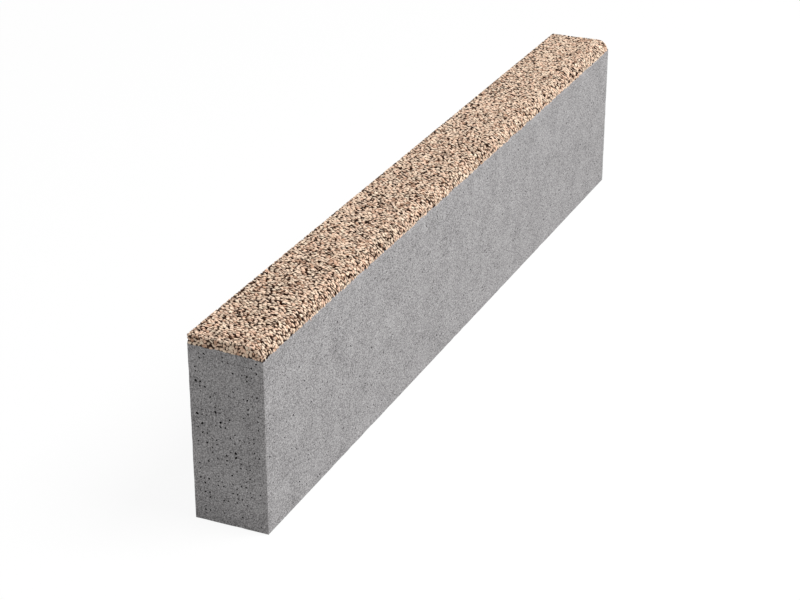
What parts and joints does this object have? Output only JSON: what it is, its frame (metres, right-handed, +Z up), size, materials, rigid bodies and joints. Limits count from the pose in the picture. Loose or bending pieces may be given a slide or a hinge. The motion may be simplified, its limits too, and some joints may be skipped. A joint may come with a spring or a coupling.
{
  "type": "kerb stone",
  "caption": "Straight concrete kerb stone with a rounded front top edge and an exposed-aggregate facing, laid end to end along a path, lawn or road.",
  "frame": {"origin": "centre of the bed face, on the ground", "axes": "+X along the length, +Y from the rounded front to the square back, +Z up"},
  "size_m": [1, 0.08, 0.2],
  "materials": {
    "backing_concrete": "matt vibro-pressed grey concrete with fine air pores",
    "facing_aggregate": "washed facing mix with exposed peach, cream and dark granite chips"
  },
  "bodies": {
    "root": {"backing_block": "backing_concrete", "facing_layer": "facing_aggregate"}
  },
  "joints": []
}
